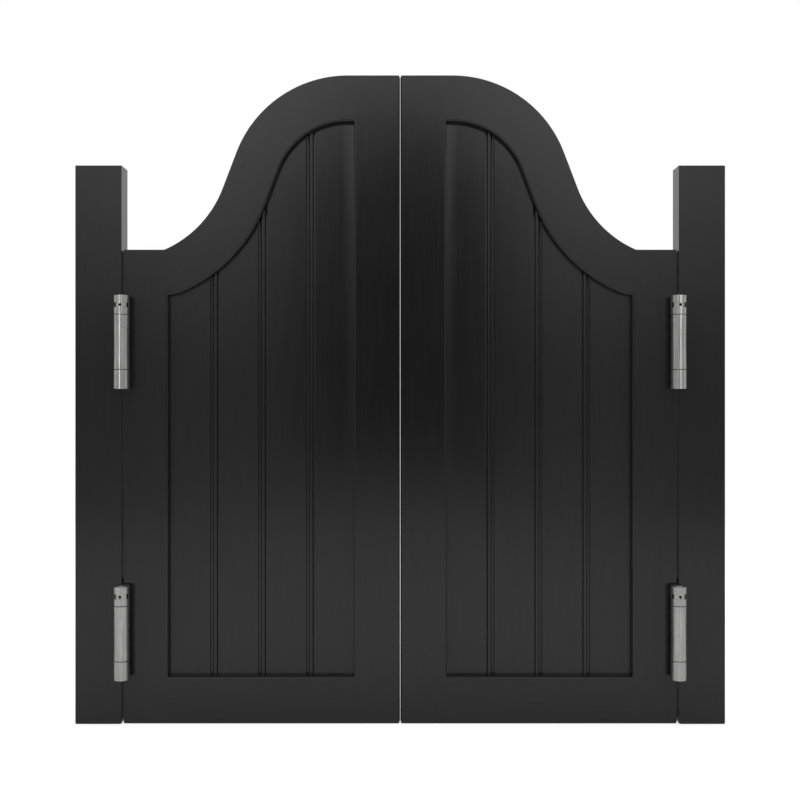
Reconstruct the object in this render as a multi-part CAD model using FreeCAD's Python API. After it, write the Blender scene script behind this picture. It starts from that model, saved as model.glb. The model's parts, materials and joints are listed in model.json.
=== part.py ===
import FreeCAD
import Part
import math
import os

# A pair of cafe swinging doors. Two posts stand in a doorway, and a leaf hangs from each on two
# double-action spring hinges, so it opens to the front and to the back and closes by itself.
# Millimetres. X runs across the doorway, Y to the back and Z up. The origin is at the middle of
# the doorway, half way through the posts, level with the foot of the posts and leaves.
# Everything is drawn for the right side (X > 0), and the left side is its mirror image.

Vector = FreeCAD.Vector
UP = Vector(0, 0, 1)

# --- Driving dimensions ---

# Posts
opening_width = 916.0  # clear width between the posts
post_width = 76.0
post_depth = 38.0
post_height = 918.0
post_arris = 0.6  # rounding of a post's long edges
foot_corner = 2.5  # rounding of the bottom corners of posts and leaves
fixing_hole_radius = 2.75
fixing_sink_radius = 5.5  # countersink of a fixing hole, at the inner side
fixing_hole_low = 38.0
fixing_hole_high = 742.0

# Leaves
leaf_height = 1067.0
leaf_thickness = 32.0
leaf_arris = 0.6
shoulder_height = 780.0
hinge_gap = 3.0  # between a post and its leaf
meeting_gap = 0.5  # between the leaves, at mid thickness
meeting_relief = 2.0  # how far the crowned meeting edge falls back at each face
hinge_stile_width = 72.6
meeting_stile_width = 76.0
bottom_rail_width = 77.0
crown_band = 75.3  # width of the crown rail's band, square to its curve

# Crown outline, from the meeting edge outwards: a flat, a round brow, a straight slope, a hollow,
# and a level shoulder over the hinge stile
crown_flat_end = 86.3  # distance of the flat's end from the middle of the doorway
brow_radius = 196.2
slope_length = 64.4
hollow_radius = 179.8965
shoulder_overlap = 6.1  # how far the hollow runs out over the hinge stile
shoulder_corner = 6.0  # rounding where the hollow meets the shoulder

# Inner edges of stiles and rails, and the groove for the boards
inner_round = 3.0  # rounding of the inner edges
joint_proud = 0.1  # how far a stile's joint faces stand proud of its inner side
groove_depth = 7.5
groove_side_clearance = 0.1  # on each side of the boards
groove_end_clearance = 0.5

# Tongued boards. Their edges slope gently to a vee at each joint, and a round channel runs along
# the joint on the hinge side.
board_thickness = 9.0
board_setback = 13.0  # from the face of the frame to the face of the boards
first_joint = 151.8  # from the leaf's hinge edge
board_pitch = 79.4
channel_width = 6.0
channel_depth = 2.2
channel_distance = 5.8  # from the joint to the channel
vee_width = 2.0  # across both boards
vee_depth = 1.2
ease_width = 2.5  # gentle slope from a face down to the vee
ease_drop = 0.5
tongue_length = 5.0
tongue_thickness = 3.0
tongue_clearance = 0.1

# Frame dowels
dowel_radius = 5.0
dowel_length = 60.0
dowel_glue_gap = 0.05
dowel_inset = 19.0  # from a rail's edges to its dowels
dowel_lift = 5.0  # how much higher the dowel sits that passes the rising top of the boards

# Hinges
hinge_height = 152.4
hinge_inset = 77.0  # from the leaf's foot, and from its shoulder
barrel_radius = 13.0
barrel_waist = 0.35  # how far the middle barrel draws in at its middle
sheet = 1.8  # thickness of every plate and barrel wall
knuckle_height = 31.2  # top and bottom knuckles
knuckle_gap = 0.6
knuckle_edge = 0.5  # chamfer of the ends of knuckles and middle barrels
barrel_clearance = 0.5  # from a barrel to the faces of the post
axis_from_post = 4.0  # from the post's inner side to the line of the pins
jamb_plate_width = 33.0
door_plate_width = 30.0
web_end_clearance = 2.0  # from the web's tall middle to the end knuckles
plate_end_clearance = 0.1  # mortise over plate, at the top and bottom

# Inside each barrel
spindle_radius = 4.0
running_clearance = 0.05
seat_clearance = 0.1
head_thickness = 3.0
button_radius = 7.5
button_height = 1.0
button_edge = 0.4
foot_thickness = 4.0
anchor_height = 8.0
collar_neck_radius = 9.6
collar_neck_height = 8.0
collar_waist_radius = 6.0  # behind the window
collar_hole_radius = 2.4
collar_hole_depth = 7.0
collar_hole_to_leaf = 2.5  # degrees from the front
window_height = 8.0
window_drop = 16.0  # from the top of the barrel to the window's middle
window_to_post = 50.0  # degrees from the front
window_to_leaf = 74.0
lug_recess = 0.1  # the collar's lug in the window, below the barrel's outer face
lug_clearance = 0.3  # above and below the lug
lug_to_post = 29.0  # degrees from the front
lug_to_leaf = 50.0
spring_wire_radius = 1.4
spring_mean_radius = 7.6
spring_turns = 14
spring_end_clearance = 0.3
tang_length = 5.0
tang_clearance = 0.1

# Countersunk screws of the hinge plates
screw_radius = 2.1
screw_length = 32.0
screw_head_radius = 4.2
screw_head_height = 2.2
screw_point = 5.0
screw_clearance = 0.05
screw_slot_width = 1.0
screw_slot_length = 4.4
screw_slot_depth = 1.2
screw_end = 14.0  # from the ends of the hinge to the outer screws
screw_end_inner = 52.0  # from the ends of the hinge to the inner screws
screw_stagger = 6.0  # each screw's distance from the plate's middle, by turns to either side

# --- Places that follow from them ---

post_inner = opening_width / 2
post_outer = post_inner + post_width
post_face = post_depth / 2
leaf_edge = post_inner - hinge_gap
leaf_start = meeting_gap / 2
leaf_face = leaf_thickness / 2
hinge_stile_inner = leaf_edge - hinge_stile_width
meeting_stile_inner = leaf_start + meeting_stile_width
axis_x = post_inner - axis_from_post
axis_y = post_face + barrel_clearance + barrel_radius
bore_radius = barrel_radius - sheet
hinge_feet = (hinge_inset, shoulder_height - hinge_inset - hinge_height)
board_front = board_setback - leaf_face
board_middle = board_front + board_thickness / 2
groove_front = board_front - groove_side_clearance
groove_width = board_thickness + 2 * groove_side_clearance
groove_reach = -groove_depth  # opening inset at the bottom of the groove
board_reach = groove_reach + groove_end_clearance
screw_heights = (
    screw_end, screw_end_inner, hinge_height - screw_end_inner, hinge_height - screw_end
)
jamb_plate_back = jamb_plate_width - post_face
jamb_plate_middle = jamb_plate_back - jamb_plate_width / 2
door_plate_front = leaf_face - door_plate_width
door_plate_middle = leaf_face - door_plate_width / 2
beyond = 10.0  # overrun of cutting solids
match = 0.01  # how closely an edge lies on a face that it is picked by
diagonal = math.sqrt(0.5)


def box(x0, x1, y0, y1, z0, z1):
    """A box between two values on each axis."""
    return Part.makeBox(x1 - x0, y1 - y0, z1 - z0, Vector(x0, y0, z0))


def tube(x, y, z0, z1, outer, inner):
    """A ring of rectangular section about a vertical axis."""
    disc = Part.makeCylinder(outer, z1 - z0, Vector(x, y, z0))
    return disc.cut(Part.makeCylinder(inner, z1 - z0 + 2 * beyond, Vector(x, y, z0 - beyond)))


def turned(x, y, profile):
    """A solid of revolution about the vertical axis at x, y, from (radius, z) points."""
    points = [Vector(x + r, y, z) for r, z in profile]
    face = Part.Face(Part.makePolygon(points + points[:1]))
    return face.revolve(Vector(x, y, 0), UP, 360)


def in_plane(point, y):
    return Vector(point[0], y, point[1])


def arc_about(centre, start, end, y):
    """The shorter arc from start to end about centre, as (x, z) points in the plane at y."""
    radius = math.dist(centre, start)
    across = [(s - c) + (e - c) for c, s, e in zip(centre, start, end)]
    scale = radius / math.hypot(*across)
    middle = [c + a * scale for c, a in zip(centre, across)]
    return Part.Arc(in_plane(start, y), in_plane(middle, y), in_plane(end, y)).toShape()


def line(start, end, y):
    return Part.LineSegment(in_plane(start, y), in_plane(end, y)).toShape()


def towards(start, end, distance):
    """The point at a distance from start on the way to end."""
    share = distance / math.dist(start, end)
    return tuple(s + (e - s) * share for s, e in zip(start, end))


# Centres and meeting points of the crown's curves, as (x, z). The brow turns from the flat to the
# slope as far as brings the end of the hollow to the shoulder.
brow_centre = (crown_flat_end, leaf_height - brow_radius)
shoulder = (hinge_stile_inner + shoulder_overlap, shoulder_height)
shoulder_way = math.dist(brow_centre, shoulder)
shoulder_turn = math.atan2(shoulder[0] - brow_centre[0], shoulder[1] - brow_centre[1])
hollow_way = math.hypot(brow_radius + hollow_radius, slope_length)  # from centre to centre
hollow_turn = math.atan2(slope_length, brow_radius + hollow_radius)
corner_cosine = (shoulder_way**2 + hollow_way**2 - hollow_radius**2) / (2 * shoulder_way * hollow_way)
turn = shoulder_turn - math.acos(corner_cosine) - hollow_turn
slope_out = (math.sin(turn), math.cos(turn))  # outwards, square to the slope
slope_down = (math.cos(turn), -math.sin(turn))
slope_start = tuple(c + brow_radius * n for c, n in zip(brow_centre, slope_out))
slope_end = tuple(s + slope_length * d for s, d in zip(slope_start, slope_down))
hollow_centre = tuple(e + hollow_radius * n for e, n in zip(slope_end, slope_out))


def leaf_outline(y):
    """The leaf seen from the front, closed, in the plane at y."""
    corner_z = shoulder_height + shoulder_corner
    rise = hollow_centre[1] - corner_z
    run = math.sqrt((hollow_radius - shoulder_corner) ** 2 - rise**2)
    corner_centre = (hollow_centre[0] - run, corner_z)
    top_start = (leaf_start, leaf_height)
    flat_end = (crown_flat_end, leaf_height)
    hollow_end = towards(hollow_centre, corner_centre, hollow_radius)
    corner_end = (corner_centre[0], shoulder_height)
    shoulder_end = (leaf_edge, shoulder_height)
    foot_out = (leaf_edge, foot_corner)
    foot_out_in = (leaf_edge - foot_corner, 0)
    foot_in_out = (leaf_start + foot_corner, 0)
    foot_in = (leaf_start, foot_corner)
    return Part.Wire(
        [
            line(top_start, flat_end, y),
            arc_about(brow_centre, flat_end, slope_start, y),
            line(slope_start, slope_end, y),
            arc_about(hollow_centre, slope_end, hollow_end, y),
            arc_about(corner_centre, hollow_end, corner_end, y),
            line(corner_end, shoulder_end, y),
            line(shoulder_end, foot_out, y),
            arc_about((foot_out_in[0], foot_corner), foot_out, foot_out_in, y),
            line(foot_out_in, foot_in_out, y),
            arc_about((foot_in_out[0], foot_corner), foot_in_out, foot_in, y),
            line(foot_in, top_start, y),
        ]
    )


def opening_outline(inset, y):
    """The panel opening, drawn in by inset from the flat faces of stiles and rails, at y."""
    band = crown_band + inset
    x0 = meeting_stile_inner + inset
    x1 = hinge_stile_inner - inset
    low = bottom_rail_width + inset
    top = leaf_height - band
    brow_end = towards(brow_centre, slope_start, brow_radius - band)
    hollow_start = towards(hollow_centre, slope_end, hollow_radius + band)
    hollow_end = towards(hollow_centre, shoulder, hollow_radius + band)
    edge_top = (x1, shoulder[1] - math.sqrt(band**2 - (shoulder[0] - x1) ** 2))
    return Part.Wire(
        [
            line((x0, low), (x0, top), y),
            line((x0, top), (crown_flat_end, top), y),
            arc_about(brow_centre, (crown_flat_end, top), brow_end, y),
            line(brow_end, hollow_start, y),
            arc_about(hollow_centre, hollow_start, hollow_end, y),
            arc_about(shoulder, hollow_end, edge_top, y),
            line(edge_top, (x1, low), y),
            line((x1, low), (x0, low), y),
        ]
    )


def extrude_back(wire, depth):
    return Part.Face(wire).extrude(Vector(0, depth, 0))


def leaf_blank():
    """The whole leaf as one slab with eased edges and a crowned meeting edge."""
    slab = extrude_back(leaf_outline(-leaf_face), leaf_thickness)
    relieved = leaf_start + meeting_relief
    edge = Part.Arc(
        Vector(relieved, -leaf_face, 0), Vector(leaf_start, 0, 0), Vector(relieved, leaf_face, 0)
    ).toShape()
    out = leaf_edge + beyond
    side = Part.makePolygon(
        [Vector(relieved, leaf_face, 0), Vector(out, leaf_face, 0)]
        + [Vector(out, -leaf_face, 0), Vector(relieved, -leaf_face, 0)]
    )
    crowned = Part.Face(Part.Wire([edge] + side.Edges)).extrude(UP * leaf_height)
    blank = slab.common(crowned)
    rim = [
        e
        for e in blank.Edges
        if abs(abs(e.CenterOfMass.y) - leaf_face) < match
        and e.BoundBox.YLength < match
        and e.CenterOfMass.x > relieved + leaf_arris
        and e.CenterOfMass.z > leaf_arris
    ]
    return blank.makeFillet(leaf_arris, rim)


def leaf_frame():
    """Stiles and rails in one piece: the leaf without its opening and the groove round it."""
    ring = leaf_blank().cut(extrude_back(opening_outline(0, -leaf_thickness), 2 * leaf_thickness))
    wall = extrude_back(opening_outline(-match, -leaf_thickness), 2 * leaf_thickness)
    rim = [
        e
        for e in ring.Edges
        if abs(abs(e.CenterOfMass.y) - leaf_face) < match
        and e.BoundBox.YLength < match
        and wall.isInside(e.Vertexes[0].Point, match / 2, True)
        and wall.isInside(e.Vertexes[-1].Point, match / 2, True)
    ]
    ring = ring.makeFillet(inner_round, rim)
    return ring.cut(extrude_back(opening_outline(groove_reach, groove_front), groove_width))


def between(x0, x1):
    """All of the leaf's space from x0 to x1."""
    return box(x0, x1, -leaf_thickness, leaf_thickness, -beyond, leaf_height + beyond)


def dowel_places():
    """Each dowel's start, at the middle of a joint between a stile and a rail."""
    crown_low = leaf_height - crown_band
    shoulder_low = shoulder_height - crown_band
    heights = {
        meeting_stile_inner: (crown_low + dowel_inset, leaf_height - dowel_inset),
        hinge_stile_inner: (
            shoulder_low + dowel_inset + dowel_lift, shoulder_height - dowel_inset
        ),
    }
    places = []
    for x, pair in heights.items():
        for z in (dowel_inset, bottom_rail_width - dowel_inset) + pair:
            places.append(Vector(x - dowel_length / 2, 0, z))
    return places


def dowels(radius, length):
    """All dowels of a leaf, or with a larger radius and length their holes."""
    spare = Vector((length - dowel_length) / 2, 0, 0)
    return [Part.makeCylinder(radius, length, p - spare, Vector(1, 0, 0)) for p in dowel_places()]


def board_section(hinge_side, middle_side, grooved, tongued):
    """A board seen from above, about y = 0."""
    face = board_thickness / 2
    half = tongue_thickness / 2
    low = face - ease_drop - vee_depth
    edges = []

    def run(*points):
        corners = [Vector(x, y, 0) for x, y in points]
        edges.extend(Part.makePolygon(corners).Edges)

    def eased(end, way):
        """The vee and the slope of an edge on both faces, and where the flat face starts."""
        vee = end + way * vee_width / 2
        start = vee + way * ease_width
        for side in (-1, 1):
            run((end, side * low), (vee, side * (face - ease_drop)), (start, side * face))
        return start

    if grooved:
        slot = half + tongue_clearance
        slot_end = hinge_side - tongue_length - tongue_clearance
        flat_start = eased(hinge_side, -1)
        run(
            (hinge_side, -low), (hinge_side, -slot), (slot_end, -slot),
            (slot_end, slot), (hinge_side, slot), (hinge_side, low),
        )
    else:
        flat_start = hinge_side
        run((hinge_side, -face), (hinge_side, face))
    if tongued:
        tip = middle_side - tongue_length
        strip_start = eased(middle_side, 1)
        channel_end = middle_side + channel_distance
        channel_middle = channel_end + channel_width / 2
        flat_end = channel_end + channel_width
        bottom = face - channel_depth
        for side in (-1, 1):
            channel = [(flat_end, face), (channel_middle, bottom), (channel_end, face)]
            edges.append(Part.Arc(*[Vector(x, side * y, 0) for x, y in channel]).toShape())
            run((channel_end, side * face), (strip_start, side * face))
            run((middle_side, side * low), (middle_side, side * half), (tip, side * half))
        run((tip, -half), (tip, half))
    else:
        flat_end = middle_side
        run((middle_side, -face), (middle_side, face))
    for side in (-1, 1):
        run((flat_start, side * face), (flat_end, side * face))
    return Part.Face(Part.Wire(Part.__sortEdges__(edges)))


def leaf_boards():
    """The boards of the panel, from the hinge side to the meeting side."""
    panel = extrude_back(opening_outline(board_reach, board_front), board_thickness)
    hinge_end = hinge_stile_inner - board_reach
    middle_end = meeting_stile_inner + board_reach
    joints = []
    joint = leaf_edge - first_joint
    while joint > middle_end + board_pitch / 2:
        joints.append(joint)
        joint -= board_pitch
    sides = [hinge_end] + joints + [middle_end]
    boards = []
    for number, (start, end) in enumerate(zip(sides, sides[1:])):
        section = board_section(start, end, number > 0, number < len(joints))
        section.translate(Vector(0, board_middle, 0))
        boards.append(section.extrude(UP * leaf_height).common(panel))
    return boards


def screw_places(foot):
    """Heights and sideways steps of a plate's screws, by turns to either side."""
    return [(foot + z, screw_stagger * (-1) ** n) for n, z in enumerate(screw_heights)]


def screw(x, y, z, into, spare=0.0):
    """A countersunk screw flush at x, pointing along into. With spare, its hole."""
    direction = Vector(into, 0, 0)
    start = Vector(x, y, z)
    radius = screw_radius + spare
    head = screw_head_radius + spare
    length = screw_length + spare
    shank_length = length - screw_head_height - screw_point
    shank_start = start + direction * screw_head_height
    point_start = shank_start + direction * shank_length
    taper = Part.makeCone(head, radius, screw_head_height, start, direction)
    shank = Part.makeCylinder(radius, shank_length, shank_start, direction)
    tip = Part.makeCone(radius, spare, screw_point, point_start, direction)
    body = taper.fuse([shank, tip])
    if spare:
        return body
    half = screw_slot_width / 2
    arm = screw_slot_length / 2
    x0, x1 = sorted((x - into * beyond, x + into * screw_slot_depth))
    across = box(x0, x1, y - arm, y + arm, z - half, z + half)
    upright = box(x0, x1, y - half, y + half, z - arm, z + arm)
    return body.cut(across.fuse(upright))


def jamb_screws(foot, spare=0.0):
    """The screws of a jamb leaf, or with spare their holes."""
    y = jamb_plate_middle
    return [screw(post_inner, y + step, z, 1, spare) for z, step in screw_places(foot)]


def door_screws(foot, spare=0.0):
    """The screws of a door leaf, or with spare their holes."""
    y = door_plate_middle
    return [screw(leaf_edge, y + step, z, -1, spare) for z, step in screw_places(foot)]


def plate_mortise(x0, x1, y0, y1, foot):
    """The recess of a hinge plate, a little taller than the plate."""
    low = foot - plate_end_clearance
    return box(x0, x1, y0, y1, low, foot + hinge_height + plate_end_clearance)


def knuckle_pair(y, foot):
    """The top and bottom knuckles of a barrel at axis_x, y."""
    rings = []
    for low in (foot, foot + hinge_height - knuckle_height):
        high = low + knuckle_height
        profile = [
            (bore_radius, low),
            (barrel_radius - knuckle_edge, low),
            (barrel_radius, low + knuckle_edge),
            (barrel_radius, high - knuckle_edge),
            (barrel_radius - knuckle_edge, high),
            (bore_radius, high),
        ]
        rings.append(turned(axis_x, y, profile))
    return rings


def bore(y, foot):
    return Part.makeCylinder(bore_radius, hinge_height + 2 * beyond, Vector(axis_x, y, foot - beyond))


def window(y, front, foot):
    """The window in a top knuckle, open to the front of its barrel."""
    low = foot + hinge_height - window_drop - window_height / 2
    reach = barrel_radius + beyond
    return sector(y, front, low, window_height, reach, window_to_post, window_to_leaf)


def jamb_leaf(foot):
    """The hinge leaf on the post: a plate that carries the front barrel's end knuckles."""
    plate_out = post_inner + sheet
    top = foot + hinge_height
    neck_end = -axis_y + bore_radius
    solid = box(post_inner, plate_out, -post_face, jamb_plate_back, foot, top)
    necks = [
        box(post_inner, plate_out, neck_end, -post_face, low, low + knuckle_height)
        for low in (foot, top - knuckle_height)
    ]
    solid = solid.fuse(necks + knuckle_pair(-axis_y, foot))
    holes = jamb_screws(foot, screw_clearance)
    return solid.cut([bore(-axis_y, foot), window(-axis_y, -1, foot)] + holes).removeSplitter()


def door_leaf(foot):
    """The hinge leaf on the door: a plate that carries the rear barrel's end knuckles."""
    plate_in = leaf_edge - sheet
    top = foot + hinge_height
    neck_end = axis_y - bore_radius
    solid = box(plate_in, leaf_edge, door_plate_front, leaf_face, foot, top)
    necks = [
        box(plate_in, leaf_edge, leaf_face, neck_end, low, low + knuckle_height)
        for low in (foot, top - knuckle_height)
    ]
    solid = solid.fuse(necks + knuckle_pair(axis_y, foot))
    holes = door_screws(foot, screw_clearance)
    return solid.cut([bore(axis_y, foot), window(axis_y, 1, foot)] + holes).removeSplitter()


def centre_web(foot):
    """The web in the gap, which joins the middle barrels at the front and the back."""
    low = foot + knuckle_height + knuckle_gap
    high = foot + hinge_height - knuckle_height - knuckle_gap
    middle = (leaf_edge + post_inner) / 2
    x0 = middle - sheet / 2
    x1 = middle + sheet / 2
    reach = axis_y - bore_radius
    tall = axis_y - barrel_radius - web_end_clearance
    solid = box(x0, x1, -reach, reach, low, high)
    solid = solid.fuse(box(x0, x1, -tall, tall, foot, foot + hinge_height))
    for y in (-axis_y, axis_y):
        solid = solid.fuse(middle_barrel(y, low, high))
    return solid.cut([bore(y, foot) for y in (-axis_y, axis_y)]).removeSplitter()


def middle_barrel(y, low, high):
    """A drawn barrel that is a little slimmer at its middle."""
    def at(radius, z):
        return Vector(axis_x + radius, y, z)

    waist = barrel_radius - barrel_waist
    middle = (low + high) / 2
    start = at(barrel_radius, low + knuckle_edge)
    end = at(barrel_radius, high - knuckle_edge)
    outside = Part.Arc(start, at(waist, middle), end).toShape()
    rest = Part.makePolygon(
        [
            end,
            at(barrel_radius - knuckle_edge, high),
            at(bore_radius, high),
            at(bore_radius, low),
            at(barrel_radius - knuckle_edge, low),
            start,
        ]
    )
    face = Part.Face(Part.Wire([outside] + rest.Edges))
    return face.revolve(Vector(axis_x, y, 0), UP, 360)


def spindle(y, foot):
    """The pin through a barrel, with a button head above and a riveted foot below."""
    top = foot + hinge_height
    wide = bore_radius - seat_clearance
    profile = [
        (0, foot),
        (wide, foot),
        (wide, foot + foot_thickness),
        (spindle_radius, foot + foot_thickness),
        (spindle_radius, top - head_thickness),
        (wide, top - head_thickness),
        (wide, top),
        (button_radius, top),
        (button_radius, top + button_height - button_edge),
        (button_radius - button_edge, top + button_height),
        (0, top + button_height),
    ]
    return turned(axis_x, y, profile)


def sector(y, front, low, height, radius, to_post, to_leaf):
    """A sector of a barrel, between two angles from the front of its barrel."""
    solid = Part.makeCylinder(radius, height, Vector(axis_x, y, low), UP, to_post + to_leaf)
    start = -90.0 - to_leaf if front < 0 else 90.0 - to_post
    solid.rotate(Vector(axis_x, y, low), UP, start)
    return solid


def collar(y, front, foot):
    """The tension collar in the top knuckle. Its lug stands in the window, with a hole to turn it
    by, and a slot below holds the spring."""
    knuckle_low = foot + hinge_height - knuckle_height
    neck_low = knuckle_low - collar_neck_height
    high = foot + hinge_height - head_thickness - knuckle_gap
    wide = bore_radius - running_clearance
    inner = spindle_radius + running_clearance
    middle = foot + hinge_height - window_drop
    window_low = middle - window_height / 2
    window_high = middle + window_height / 2
    profile = [
        (inner, neck_low),
        (collar_neck_radius, neck_low),
        (collar_neck_radius, knuckle_low + knuckle_gap),
        (wide, knuckle_low + knuckle_gap),
        (wide, window_low),
        (collar_waist_radius, window_low),
        (collar_waist_radius, window_high),
        (wide, window_high),
        (wide, high),
        (inner, high),
    ]
    lug_radius = barrel_radius - lug_recess
    lug_low = window_low + lug_clearance
    lug_height = window_height - 2 * lug_clearance
    lug = sector(y, front, lug_low, lug_height, lug_radius, lug_to_post, lug_to_leaf)
    shaft = Part.makeCylinder(inner, hinge_height, Vector(axis_x, y, foot))
    solid = turned(axis_x, y, profile).fuse(lug.cut(shaft))
    angle = front * math.radians(90.0 + collar_hole_to_leaf)
    direction = Vector(math.cos(angle), math.sin(angle), 0)
    start = Vector(axis_x, y, middle) + direction * (lug_radius - collar_hole_depth)
    hole = Part.makeCylinder(collar_hole_radius, collar_hole_depth + beyond, start, direction)
    return solid.cut([hole, tang_hole(y, neck_low, 1)])


def tang(y, z, way, length, radius):
    """A spring's straight end, or the hole for one, from the height z upwards or downwards."""
    start = z if way > 0 else z - length
    return Part.makeCylinder(radius, length, Vector(axis_x + spring_mean_radius, y, start))


def tang_hole(y, z, way):
    """The hole for a spring's tang, from the face at height z."""
    return tang(y, z, way, tang_length + tang_clearance, spring_wire_radius + tang_clearance)


def spring_span(foot):
    """The lowest and highest points of a spring's coils."""
    low = foot + knuckle_height + knuckle_gap + anchor_height + spring_end_clearance
    high = foot + hinge_height - knuckle_height - collar_neck_height - spring_end_clearance
    return low, high


def spring(y, foot):
    """The torsion spring of a barrel, with a straight tang at each end."""
    low, high = spring_span(foot)
    length = high - low - 2 * spring_wire_radius
    pitch = length / spring_turns
    slope = math.atan2(pitch, math.tau * spring_mean_radius)
    along = Vector(0, math.cos(slope), math.sin(slope))
    ring = Part.Wire([Part.makeCircle(spring_wire_radius, Vector(spring_mean_radius, 0, 0), along)])
    helix = Part.Wire(Part.makeHelix(pitch, length, spring_mean_radius))
    coil = helix.makePipeShell([ring], True, True)
    coil.translate(Vector(axis_x, y, low + spring_wire_radius))
    reach = spring_wire_radius + spring_end_clearance + tang_length
    for z, way in ((low + spring_wire_radius, -1), (high - spring_wire_radius, 1)):
        bend = Part.makeSphere(spring_wire_radius, Vector(axis_x + spring_mean_radius, y, z))
        coil = coil.fuse([bend, tang(y, z, way, reach, spring_wire_radius)])
    return coil


def spring_anchor(y, foot):
    """The plug crimped into the foot of the middle barrel, which holds the spring's lower end."""
    low = foot + knuckle_height + knuckle_gap
    high = low + anchor_height
    wide = bore_radius - seat_clearance
    ring = tube(axis_x, y, low, high, wide, spindle_radius + running_clearance)
    return ring.cut(tang_hole(y, high, -1))


def post():
    """A post, mortised for its hinge leaves and drilled for its screws."""
    def at(x, z):
        return in_plane((x, z), -post_face)

    inner = post_inner
    outer = post_outer
    bend = foot_corner
    mid = bend * (1 - diagonal)
    low_in = Part.Arc(at(inner, bend), at(inner + mid, mid), at(inner + bend, 0)).toShape()
    low_out = Part.Arc(at(outer - bend, 0), at(outer - mid, mid), at(outer, bend)).toShape()
    upper = Part.makePolygon(
        [at(outer, bend), at(outer, post_height), at(inner, post_height), at(inner, bend)]
    )
    foot = Part.makePolygon([at(inner + bend, 0), at(outer - bend, 0)])
    outline = Part.Wire([low_in] + foot.Edges + [low_out] + upper.Edges)
    solid = extrude_back(outline, post_depth)
    rim = [e for e in solid.Edges if e.BoundBox.YLength < match]
    solid = solid.makeFillet(post_arris, rim)
    cuts = []
    for z in hinge_feet:
        cuts.append(
            plate_mortise(inner - beyond, inner + sheet, -post_face - beyond, jamb_plate_back, z)
        )
        cuts += jamb_screws(z, screw_clearance)
    across = Vector(1, 0, 0)
    sink = fixing_sink_radius - fixing_hole_radius
    for z in (fixing_hole_low, fixing_hole_high):
        start = Vector(inner, 0, z)
        cuts.append(Part.makeCylinder(fixing_hole_radius, post_width, start, across))
        cuts.append(Part.makeCone(fixing_sink_radius, fixing_hole_radius, sink, start, across))
    return solid.cut(cuts)


def leaf():
    """The pieces of a leaf by name."""
    frame = leaf_frame()
    meeting_joint = meeting_stile_inner + joint_proud
    hinge_joint = hinge_stile_inner - joint_proud
    hinge_stile = frame.common(between(hinge_joint, leaf_edge + beyond))
    meeting_stile = frame.common(between(0, meeting_joint))
    rails = frame.common(between(meeting_joint, hinge_joint))
    bottom_rail, crown_rail = sorted(rails.Solids, key=lambda s: s.CenterOfMass.z)
    holes = dowels(dowel_radius + dowel_glue_gap, dowel_length + 2 * dowel_glue_gap)
    cuts = []
    for z in hinge_feet:
        inside = leaf_edge - sheet
        outside = leaf_edge + beyond
        cuts.append(plate_mortise(inside, outside, door_plate_front, leaf_face + beyond, z))
        cuts += door_screws(z, screw_clearance)
    pieces = {
        "hinge_stile": [hinge_stile.cut(cuts + holes)],
        "meeting_stile": [meeting_stile.cut(holes)],
        "bottom_rail": [bottom_rail.cut(holes)],
        "crown_rail": [crown_rail.cut(holes)],
        "frame_dowels": dowels(dowel_radius, dowel_length),
    }
    for number, board in enumerate(leaf_boards(), 1):
        pieces[f"board_{number}"] = [board]
    return pieces


def hinges():
    """The pieces of a side's two hinges by name."""
    pieces = {
        "front_springs": [],
        "rear_springs": [],
        "front_spindles": [],
        "rear_spindles": [],
        "spring_anchors": [],
        "jamb_hinge_screws": [],
        "door_hinge_screws": [],
    }
    for place, foot in zip(("lower", "upper"), hinge_feet):
        pieces[f"{place}_jamb_leaf"] = [jamb_leaf(foot)]
        pieces[f"{place}_centre_web"] = [centre_web(foot)]
        pieces[f"{place}_door_leaf"] = [door_leaf(foot)]
        for end, front in (("front", -1), ("rear", 1)):
            y = front * axis_y
            pieces[f"{place}_{end}_collar"] = [collar(y, front, foot)]
            pieces[f"{end}_springs"].append(spring(y, foot))
            pieces[f"{end}_spindles"].append(spindle(y, foot))
            pieces["spring_anchors"].append(spring_anchor(y, foot))
        pieces["jamb_hinge_screws"] += jamb_screws(foot)
        pieces["door_hinge_screws"] += door_screws(foot)
    return pieces


def write(name, shapes):
    """One STEP file for a node."""
    solids = [solid for shape in shapes for solid in shape.Solids]
    for solid in solids:
        if not solid.isValid():
            raise ValueError(f"{name} has a solid that isn't valid")
    shape = solids[0] if len(solids) == 1 else Part.makeCompound(solids)
    shape.exportStep(f"parts/{name}.step")
    print(f"{name}: {len(solids)} solids, {shape.Volume:.0f} mm3")


def mirrored(shapes):
    return [shape.mirror(Vector(0, 0, 0), Vector(1, 0, 0)) for shape in shapes]


def main():
    os.makedirs("parts", exist_ok=True)
    right = {"post": [post()], **leaf(), **hinges()}
    shared = ("front_spindles", "jamb_hinge_screws")  # both sides' in one node, on the posts
    for name, shapes in right.items():
        if name in shared:
            write(name, mirrored(shapes) + shapes)
        else:
            write(f"right_{name}", shapes)
            write(f"left_{name}", mirrored(shapes))


main()
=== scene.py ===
import bpy
import json
import math
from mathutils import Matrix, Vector

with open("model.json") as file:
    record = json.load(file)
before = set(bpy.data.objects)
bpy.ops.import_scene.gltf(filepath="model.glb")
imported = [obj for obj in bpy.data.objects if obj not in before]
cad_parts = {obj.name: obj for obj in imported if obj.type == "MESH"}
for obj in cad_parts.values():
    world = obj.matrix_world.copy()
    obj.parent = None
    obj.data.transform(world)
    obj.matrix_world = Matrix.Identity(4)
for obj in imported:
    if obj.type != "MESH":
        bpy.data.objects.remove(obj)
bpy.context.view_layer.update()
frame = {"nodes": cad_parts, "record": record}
scene = bpy.context.scene
slot_of = {part["node"]: part["material_slot"] for part in frame["record"]["subparts"]}

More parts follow.
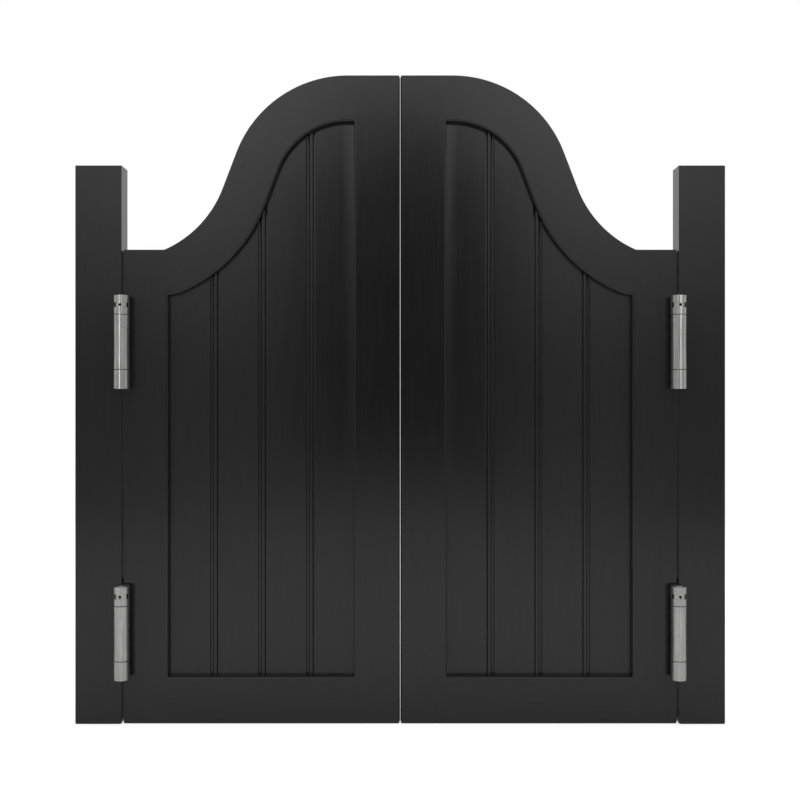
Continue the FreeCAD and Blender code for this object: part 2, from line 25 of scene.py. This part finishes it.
PAINTED = "satin_black_wood"
WHITE = (1.0, 1.0, 1.0, 1.0)
BLACK = (0.0, 0.0, 0.0, 1.0)

# --- Camera: level, in front of the middle of the doorway, half way up the leaves ---

SENSOR_WIDTH = 36.0  # mm
FOCAL_LENGTH = 46.2  # mm
LEAF_FRONT = -0.016
EYE_DISTANCE = 1.690  # from the front of the leaves
EYE_HEIGHT = 0.5325
EYE_ASIDE = -0.0003

camera_data = bpy.data.cameras.new("camera")
camera_data.sensor_width = SENSOR_WIDTH
camera_data.lens = FOCAL_LENGTH
camera = bpy.data.objects.new("camera", camera_data)
camera.location = (EYE_ASIDE, LEAF_FRONT - EYE_DISTANCE, EYE_HEIGHT)
camera.rotation_euler = (math.radians(90), 0, 0)
scene.collection.objects.link(camera)
scene.camera = camera


# --- Node helpers ---

class Tree:
    """A node tree with short calls. Each call adds a node and returns what comes out of it."""

    def __init__(self, tree):
        self.tree = tree
        tree.nodes.clear()

    def node(self, kind, inputs, **values):
        made = self.tree.nodes.new(kind)
        for key, value in values.items():
            setattr(made, key, value)
        for key, value in inputs.items():
            self.put(value, made.inputs[key])
        return made

    def put(self, value, socket):
        if isinstance(value, bpy.types.NodeSocket):
            self.tree.links.new(value, socket)
        else:
            socket.default_value = value

    def out(self, kind, name):
        """An output of a node that has no inputs."""
        return self.node(kind, {}).outputs[name]

    def math(self, operation, *values, clamp=False):
        inputs = dict(enumerate(values))
        return self.node("ShaderNodeMath", inputs, operation=operation, use_clamp=clamp).outputs[0]

    def add(self, a, b, clamp=False):
        return self.math("ADD", a, b, clamp=clamp)

    def less(self, a, b):
        return self.math("SUBTRACT", a, b)

    def times(self, a, b):
        return self.math("MULTIPLY", a, b)

    def vary(self, value, noise, amount, clamp=False):
        """A value that a noise moves up and down by half the amount."""
        return self.add(value, self.times(self.less(noise, 0.5), amount), clamp)

    def reach(self, a, b):
        """The length of the hypotenuse over a and b."""
        return self.math("SQRT", self.add(self.times(a, a), self.times(b, b)))

    def parts(self, vector):
        """The x, y and z of a vector."""
        return self.node("ShaderNodeSeparateXYZ", {0: vector}).outputs

    def vector(self, operation, a, b, output):
        return self.node("ShaderNodeVectorMath", {0: a, 1: b}, operation=operation).outputs[output]

    def spread(self, value, low, high, out_low=0.0, out_high=1.0, smooth=True):
        """The value's way from low to high, laid over the way from out_low to out_high."""
        inputs = dict(enumerate((value, low, high, out_low, out_high)))
        kind = "SMOOTHSTEP" if smooth else "LINEAR"
        return self.node("ShaderNodeMapRange", inputs, interpolation_type=kind).outputs[0]

    def noise(self, vector, scale, detail, roughness):
        inputs = {"Vector": vector, "Scale": scale, "Detail": detail, "Roughness": roughness}
        return self.node("ShaderNodeTexNoise", inputs).outputs["Fac"]

    def stretch(self, vector, scale):
        return self.node("ShaderNodeMapping", {"Vector": vector, "Scale": scale}).outputs[0]

    def own_place(self, vector, shift):
        """A place moved by a share of shift that each piece draws for itself."""
        own = self.out("ShaderNodeObjectInfo", "Random")
        inputs = {axis: self.times(own, way) for axis, way in enumerate(shift)}
        return self.vector("ADD", vector, self.node("ShaderNodeCombineXYZ", inputs).outputs[0], "Vector")

    def mix(self, share, a, b):
        inputs = {"Factor": share, "A": a, "B": b}
        return self.node("ShaderNodeMix", inputs, data_type="RGBA").outputs["Result"]

    def bump(self, height, strength, distance, **normal):
        inputs = {"Height": height, "Strength": strength, "Distance": distance, **normal}
        return self.node("ShaderNodeBump", inputs).outputs["Normal"]

    def edge(self, radius, sharpest):
        """0 on faces and 1 on edges, where the normal turns within the radius."""
        true_normal = self.out("ShaderNodeNewGeometry", "Normal")
        soft_normal = self.node("ShaderNodeBevel", {"Radius": radius}, samples=4).outputs["Normal"]
        facing = self.vector("DOT_PRODUCT", true_normal, soft_normal, "Value")
        return self.spread(facing, 0.999, sharpest)

    def principled(self, inputs):
        shader = self.node("ShaderNodeBsdfPrincipled", inputs)
        self.node("ShaderNodeOutputMaterial", {"Surface": shader.outputs[0]})


def material(name):
    made = bpy.data.materials.new(name)
    made.use_nodes = True
    return made, Tree(made.node_tree)


def shade(colour, factor):
    """A colour made lighter or darker, with alpha."""
    return tuple(min(1.0, c * factor) for c in colour) + (1.0,)


# --- Satin black paint over wood. Noise scales are per metre. ---

PAINT_DEEP = (0.0083, 0.0083, 0.0085, 1.0)
PAINT_PALE = (0.0114, 0.0114, 0.0115, 1.0)
# Colour of the painted highlight on the edges
PAINT_HIGHLIGHT = (0.030, 0.0295, 0.029, 1.0)
PAINT_ROUGHNESS = 0.15
PAINT_RELIEF = 0.00020
PAINT_HIGHLIGHT_WIDTH = 0.0016  # width of the edges that get a painted highlight
MEETING_STILE = 0.0762  # inner side of the meeting stile, from the middle of the doorway
CUP_WIDTH = 0.020
CUP_RISE = 0.00045


def satin_paint(name, across, turn=0.0, grain=0.03, cupped=False):
    """Near-black satin paint, with the grain showing through faintly. The grain runs along the
    piece: across holds the stretch along x, y and z, and turn tilts it in the plane of the leaf.
    A cupped board rises a little towards the meeting stile."""
    made, t = material(name)
    place = t.out("ShaderNodeTexCoord", "Object")
    turned = t.node("ShaderNodeMapping", {"Vector": place, "Rotation": (0.0, turn, 0.0)}).outputs[0]
    moved = t.own_place(turned, (7.3, 0.0, 3.1))
    along = t.stretch(moved, across)

    streaks = t.noise(along, 420.0, 3.0, 0.6)
    pores = t.noise(along, 1500.0, 2.0, 0.55)
    bands = t.noise(along, 60.0, 2.0, 0.5)
    orange_peel = t.noise(moved, 380.0, 1.0, 0.5)
    cloud = t.noise(moved, 9.0, 2.0, 0.5)
    dust = t.noise(moved, 2600.0, 1.0, 0.5)
    highlight_breakup = t.noise(moved, 55.0, 3.0, 0.6)

    # Painted highlight on the edges, broken up by a noise; the edges are a little rougher too
    edge_highlight = t.times(t.edge(PAINT_HIGHLIGHT_WIDTH, 0.90), t.spread(highlight_breakup, 0.42, 0.68))
    base = t.mix(t.spread(streaks, 0.3, 0.7), PAINT_DEEP, PAINT_PALE)
    base = t.mix(t.times(edge_highlight, 0.5), base, PAINT_HIGHLIGHT)

    rough = t.vary(PAINT_ROUGHNESS, streaks, 0.03)
    rough = t.vary(rough, cloud, 0.04)
    rough = t.vary(rough, dust, 0.05)
    rough = t.add(rough, t.times(edge_highlight, 0.06), clamp=True)

    relief = t.add(t.times(streaks, 0.6), t.times(bands, 0.5))
    relief = t.add(relief, t.times(pores, 0.25))
    normal = t.bump(relief, grain, PAINT_RELIEF)
    if cupped:
        aside = t.math("ABSOLUTE", t.parts(place)[0])
        share = t.spread(aside, MEETING_STILE, MEETING_STILE + CUP_WIDTH, 1.0, 0.0, smooth=False)
        normal = t.bump(t.times(share, share), 1.0, CUP_RISE, Normal=normal)
    normal = t.bump(orange_peel, 0.05, PAINT_RELIEF, Normal=normal)

    t.principled({
        "Base Color": base,
        "Roughness": rough,
        "Normal": normal,
        "IOR": 1.5,
        "Specular IOR Level": 0.3,
    })
    return made


# --- Metals ---

METALLIC = 0.88
METAL_RELIEF = 0.00008
METAL_HIGHLIGHT_WIDTH = 0.0006  # width of the edges that get a painted highlight
# Width of the painted highlight on the screws' edges
SCREW_HIGHLIGHT_WIDTH = 0.0003
BARREL_X = 0.454  # distances of the barrels' axes from the middle
BARREL_Y = 0.0325
LOWER_HINGES = 0.25  # heights between which the painted shade on the lower hinges fades out
UPPER_HINGES = 0.50
# Painted shade inside the barrels, seen through the hinge windows
BARREL_SHADE = (0.012, 0.011, 0.010, 1.0)
BARREL_SHADE_ROUGHNESS = 0.6
BARREL_SHADE_EDGE = 0.0002  # over which the painted shade inside the barrels begins

UPRIGHT_BRUSH = (1.0, 1.0, 0.02)
TURNED_BRUSH = (1.0, 1.0, 12.0)
PLAIN_BRUSH = (1.0, 1.0, 1.0)


def brushed_metal(name, colour, rough, brush, depth, highlight_radius=METAL_HIGHLIGHT_WIDTH, shade_inside=0.0):
    """Satin nickel or steel with fine brushing, a painted highlight on the edges and a few duller patches, and
    painted shade that darkens the lower hinges a little. Nearer to a barrel's axis than the given radius it is
    painted black, as shade inside the barrel."""
    made, t = material(name)
    place = t.out("ShaderNodeTexCoord", "Object")
    moved = t.own_place(place, (1.0, 1.0, 3.0))
    along = t.stretch(moved, brush)

    hair = t.noise(along, 3200.0, 2.0, 0.6)
    wide = t.noise(along, 700.0, 2.0, 0.55)
    cloud = t.noise(moved, 90.0, 3.0, 0.55)
    grit = t.noise(moved, 1900.0, 2.0, 0.6)

    x, y, z = t.parts(place)
    base = t.mix(t.spread(wide, 0.3, 0.7), shade(colour, 0.80), shade(colour, 1.16))
    # Painted shade: the lower hinges a little darker
    base = t.mix(t.spread(z, LOWER_HINGES, UPPER_HINGES, 0.15, 0.0), base, BLACK)
    base = t.mix(t.times(t.spread(cloud, 0.48, 0.72), 0.35), base, shade(colour, 0.62))
    # Painted highlight on the edges
    base = t.mix(t.times(t.edge(highlight_radius, 0.88), 0.55), base, shade(colour, 1.35))

    metallic = METALLIC
    rough = t.vary(rough, hair, 0.10)
    rough = t.vary(rough, cloud, 0.12, clamp=True)
    # Painted shade: black and rough inside the barrel
    if shade_inside:
        off_x = t.less(t.math("ABSOLUTE", x), BARREL_X)
        off_y = t.less(t.math("ABSOLUTE", y), BARREL_Y)
        inside = t.spread(t.reach(off_x, off_y), shade_inside, shade_inside - BARREL_SHADE_EDGE)
        base = t.mix(inside, base, BARREL_SHADE)
        metallic = t.spread(inside, 0.0, 1.0, METALLIC, 0.0)
        rough = t.math("MAXIMUM", rough, t.times(inside, BARREL_SHADE_ROUGHNESS))
    normal = t.bump(t.add(hair, t.times(grit, 0.4)), depth, METAL_RELIEF)
    t.principled({"Base Color": base, "Metallic": metallic, "Roughness": rough, "Normal": normal})
    return made


BEECH_DARK = (0.42, 0.27, 0.14, 1.0)
BEECH_PALE = (0.62, 0.45, 0.27, 1.0)
BEECH_FLECK = (0.30, 0.17, 0.08, 1.0)


def beech(name):
    """Plain beech, with its grain and flecks along x."""
    made, t = material(name)
    place = t.out("ShaderNodeTexCoord", "Object")
    grain = t.noise(t.stretch(place, (0.04, 1.0, 1.0)), 900.0, 3.0, 0.6)
    flecks = t.noise(t.stretch(place, (0.3, 1.0, 1.0)), 1400.0, 1.0, 0.5)
    base = t.mix(t.spread(grain, 0.3, 0.7), BEECH_DARK, BEECH_PALE)
    base = t.mix(t.times(t.spread(flecks, 0.6, 0.75), 0.5), base, BEECH_FLECK)
    rough = t.spread(grain, 0.2, 0.8, 0.5, 0.68, smooth=False)
    t.principled({"Base Color": base, "Roughness": rough, "Normal": t.bump(grain, 0.3, 0.0002)})
    return made


# --- The finish of each piece ---

UPRIGHT = (1.0, 1.0, 0.022)  # stretch of the grain
LEVEL = (0.022, 1.0, 1.0)
CROWN_SLOPE = math.radians(33)
NICKEL = (0.36, 0.36, 0.357)
TURNED = (0.36, 0.36, 0.355)
SPRING = (0.20, 0.20, 0.21)
SCREW = (0.56, 0.56, 0.55)
COLLAR_SHADE_INSIDE = 0.0125  # radius of the painted shade inside the barrels, just under the barrels' radius

paint_upright = satin_paint("satin_black_upright", UPRIGHT)
paint_board = satin_paint("satin_black_board", UPRIGHT, cupped=True)
paint_level = satin_paint("satin_black_level", LEVEL, grain=0.04)
paint_crown_right = satin_paint("satin_black_crown_right", LEVEL, -CROWN_SLOPE, 0.025)
paint_crown_left = satin_paint("satin_black_crown_left", LEVEL, CROWN_SLOPE, 0.025)
collar_steel = brushed_metal(
    "collar_steel", TURNED, 0.26, TURNED_BRUSH, 0.25, shade_inside=COLLAR_SHADE_INSIDE
)
plain_finish = {
    PAINTED: paint_upright,
    "dowel_beech": beech("dowel_beech"),
    "brushed_steel": brushed_metal("brushed_nickel", NICKEL, 0.25, UPRIGHT_BRUSH, 0.15),
    "turned_steel": brushed_metal("turned_steel", TURNED, 0.26, TURNED_BRUSH, 0.25),
    "spring_steel": brushed_metal("spring_steel", SPRING, 0.36, PLAIN_BRUSH, 0.2),
    "screw_steel": brushed_metal("screw_steel", SCREW, 0.3, PLAIN_BRUSH, 0.25, SCREW_HIGHLIGHT_WIDTH),
}
own_finish = {
    "bottom_rail": paint_level,
    "left_crown_rail": paint_crown_left,
    "right_crown_rail": paint_crown_right,
    "board_4": paint_board,
    "collar": collar_steel,
}


def finish_of(node):
    for ending, finish in own_finish.items():
        if node.endswith(ending):
            return finish
    return plain_finish[slot_of[node]]


for name, piece in frame["nodes"].items():
    chosen = finish_of(name)
    if not piece.material_slots:
        piece.data.materials.append(chosen)
    for place in piece.material_slots:
        place.link = "OBJECT"
        place.material = chosen


# --- Floor: pale and lit, with a real shadow under the pieces; what the pieces reflect also glows, with painted shadow near the leaves and posts and a painted falloff far away ---

FLOOR_RADIUS = 3.0
FLOOR_TOP = -0.0005  # a hair below the posts and leaves
FLOOR_CORNERS = 96
FLOOR_COLOUR = (0.68, 0.68, 0.68, 1.0)
FLOOR_SEEN = 0.62  # what the camera sees added to the lit floor

mesh = bpy.data.meshes.new("floor")
turns = [math.tau * n / FLOOR_CORNERS for n in range(FLOOR_CORNERS)]
rim = [(FLOOR_RADIUS * math.cos(a), FLOOR_RADIUS * math.sin(a), FLOOR_TOP) for a in turns]
mesh.from_pydata(rim, [], [tuple(range(FLOOR_CORNERS))])
floor = bpy.data.objects.new("floor", mesh)
scene.collection.objects.link(floor)

floor_finish, t = material("pale_floor")
path = t.node("ShaderNodeLightPath", {}).outputs
mirrored = t.math("MAXIMUM", path["Is Glossy Ray"], path["Is Transmission Ray"])
place = t.parts(t.out("ShaderNodeNewGeometry", "Position"))
aside = t.math("ABSOLUTE", place[0])
ahead = t.math("ABSOLUTE", place[1])
# Glow seen in reflections: painted shadow near the leaves and beside the posts, and a painted falloff far away
painted_shadow_near_leaves = t.spread(ahead, 0.03, 0.42, 0.39, 0.60)
painted_falloff_far_away = t.spread(ahead, 0.9, 2.1, 0.0, -0.16)
painted_shade_beside_posts = t.spread(aside, 0.40, 0.60, 0.0, -0.09)
shine = t.add(t.add(painted_shadow_near_leaves, painted_falloff_far_away), painted_shade_beside_posts)
shine = t.math("MAXIMUM", shine, t.times(path["Is Camera Ray"], FLOOR_SEEN))
diffuse = t.node("ShaderNodeBsdfDiffuse", {"Color": FLOOR_COLOUR})
glow = t.node("ShaderNodeEmission", {"Color": WHITE, "Strength": shine})
both = t.node("ShaderNodeAddShader", {0: diffuse.outputs[0], 1: glow.outputs[0]})
seen = t.math("MAXIMUM", path["Is Camera Ray"], mirrored)
choice = t.node("ShaderNodeMixShader", {0: seen, 1: diffuse.outputs[0], 2: both.outputs[0]})
t.node("ShaderNodeOutputMaterial", {"Surface": choice.outputs[0]})
floor.data.materials.append(floor_finish)


# --- World: a white studio. The pieces reflect it with a dim front, where the camera stands. ---

HORIZON = 0.44  # levels in front: level with the eye, above and below
UPPER = 2.25
LOWER = 0.83
UPPER_RISE = 0.30  # slopes at which the upper and the lower level are reached
LOWER_RISE = -0.14
SIDE = 0.55  # levels round the sides and behind
FLANK = 0.90
BEHIND = 0.85
CEILING = 0.35  # share that is left of the light from overhead
PLAIN = 0.55  # level for diffuse light
TAPER_LOW = 0.205  # slopes between which the dark ovals grow narrower
TAPER_HIGH = 0.265
TAPER = 0.55
FLANK_POWER = 12.0  # how sharply they end aside
SMALLEST = 0.02  # keeps the divisions finite
E = 2.718282

world = bpy.data.worlds.new("studio")
world.use_nodes = True
scene.world = world
t = Tree(world.node_tree)
x, y, z = t.parts(t.out("ShaderNodeTexCoord", "Generated"))
across = t.math("ABSOLUTE", x)
forward = t.times(y, -1.0)
front = t.math("MAXIMUM", forward, SMALLEST)
u = t.math("DIVIDE", across, front)  # slopes from the middle, aside and upwards
v = t.math("DIVIDE", z, front)
rise = t.math("DIVIDE", z, t.math("MAXIMUM", t.reach(x, y), SMALLEST))
azimuth = t.math("ARCTAN2", across, forward)  # 0 in front, half a turn behind


def blob(centre_v, wide, tall, power):
    """A soft oval on the front side, 1 in its middle, which narrows towards its top."""
    width = t.spread(v, TAPER_LOW, TAPER_HIGH, wide, wide * TAPER)
    a = t.math("POWER", t.math("DIVIDE", u, width), FLANK_POWER)
    from_middle = t.math("ABSOLUTE", t.math("DIVIDE", t.less(v, centre_v), tall))
    b = t.math("POWER", from_middle, power)
    return t.math("POWER", E, t.times(t.add(a, b), -1.0))


def without(level, share, whole):
    """A level with a share of a soft shape taken out."""
    return t.times(level, t.less(1.0, t.times(share, whole)))


def turn_to(room, low, high, level):
    """The room as far as an azimuth of low degrees, and the level from high degrees on."""
    share = t.spread(azimuth, math.radians(low), math.radians(high))
    return t.add(t.times(t.less(1.0, share), room), t.times(share, level))


above = t.spread(rise, 0.0, UPPER_RISE, HORIZON, UPPER)
below = t.spread(rise, LOWER_RISE, 0.0, LOWER - HORIZON, 0.0)
room = t.add(above, below)
room = without(room, 0.27, t.spread(u, 0.21, 0.28))  # dimmer beside the white backdrop
room = without(room, 1.0, blob(0.106, 0.104, 0.182, 12.0))  # dark where the camera stands
room = without(room, 0.28, blob(0.15, 0.16, 0.13, 2.0))  # and darker round it
room = turn_to(room, 40.0, 58.0, SIDE)
room = turn_to(room, 62.0, 84.0, FLANK)
room = turn_to(room, 96.0, 110.0, BEHIND)
room = t.times(room, t.spread(rise, 0.45, 0.90, 1.0, CEILING))

path = t.node("ShaderNodeLightPath", {}).outputs
mirrored = t.math("MAXIMUM", path["Is Glossy Ray"], path["Is Transmission Ray"])
strength = t.add(PLAIN, t.times(mirrored, t.less(room, PLAIN)))
strength = t.math("MAXIMUM", strength, path["Is Camera Ray"])
sky = t.node("ShaderNodeBackground", {"Color": WHITE, "Strength": strength})
t.node("ShaderNodeOutputWorld", {"Surface": sky.outputs[0]})


# --- Lamps ---

def soft_box(name, place, aim, width, height, watts, shines=False):
    """A rectangular lamp that the camera doesn't see, and reflections only if it shines."""
    lamp = bpy.data.lights.new(name, "AREA")
    lamp.shape = "RECTANGLE"
    lamp.size = width
    lamp.size_y = height
    lamp.energy = watts
    made = bpy.data.objects.new(name, lamp)
    made.location = place
    made.rotation_mode = "QUATERNION"
    made.rotation_quaternion = (Vector(aim) - Vector(place)).to_track_quat("-Z", "Y")
    scene.collection.objects.link(made)
    made.visible_camera = False
    made.visible_glossy = shines
    return made


SIDES = ((-1, "left"), (1, "right"))

soft_box("key", (0.0, -3.0, 2.2), (0.0, 0.0, 0.7), 3.2, 1.2, 22.0)
for side, name in SIDES:
    soft_box(f"fill_{name}", (side * 2.2, -1.8, 1.3), (0.0, 0.0, 0.5), 1.2, 1.6, 10.0)
soft_box("overhead", (0.0, -0.3, 2.6), (0.0, 0.0, 0.4), 1.8, 1.2, 8.0)
soft_box("back_fill", (0.0, 2.4, 1.8), (0.0, 0.0, 0.5), 2.0, 1.0, 14.0)

# A narrow strip for each side's hinges, which gives their barrels a bright streak
for side, name in SIDES:
    above_hinges = (side * 0.90, -1.55, 0.80)
    hinges = (side * 0.455, -0.03, 0.45)
    strip = soft_box(f"strip_{name}", above_hinges, hinges, 0.26, 1.5, 3.2, shines=True)
    lit = bpy.data.collections.new(f"{name}_hinges")
    for node, piece in frame["nodes"].items():
        if slot_of[node] != PAINTED and node.startswith((name, "front", "jamb")):
            lit.objects.link(piece)
    strip.light_linking.receiver_collection = lit

scene.view_settings.view_transform = "Standard"
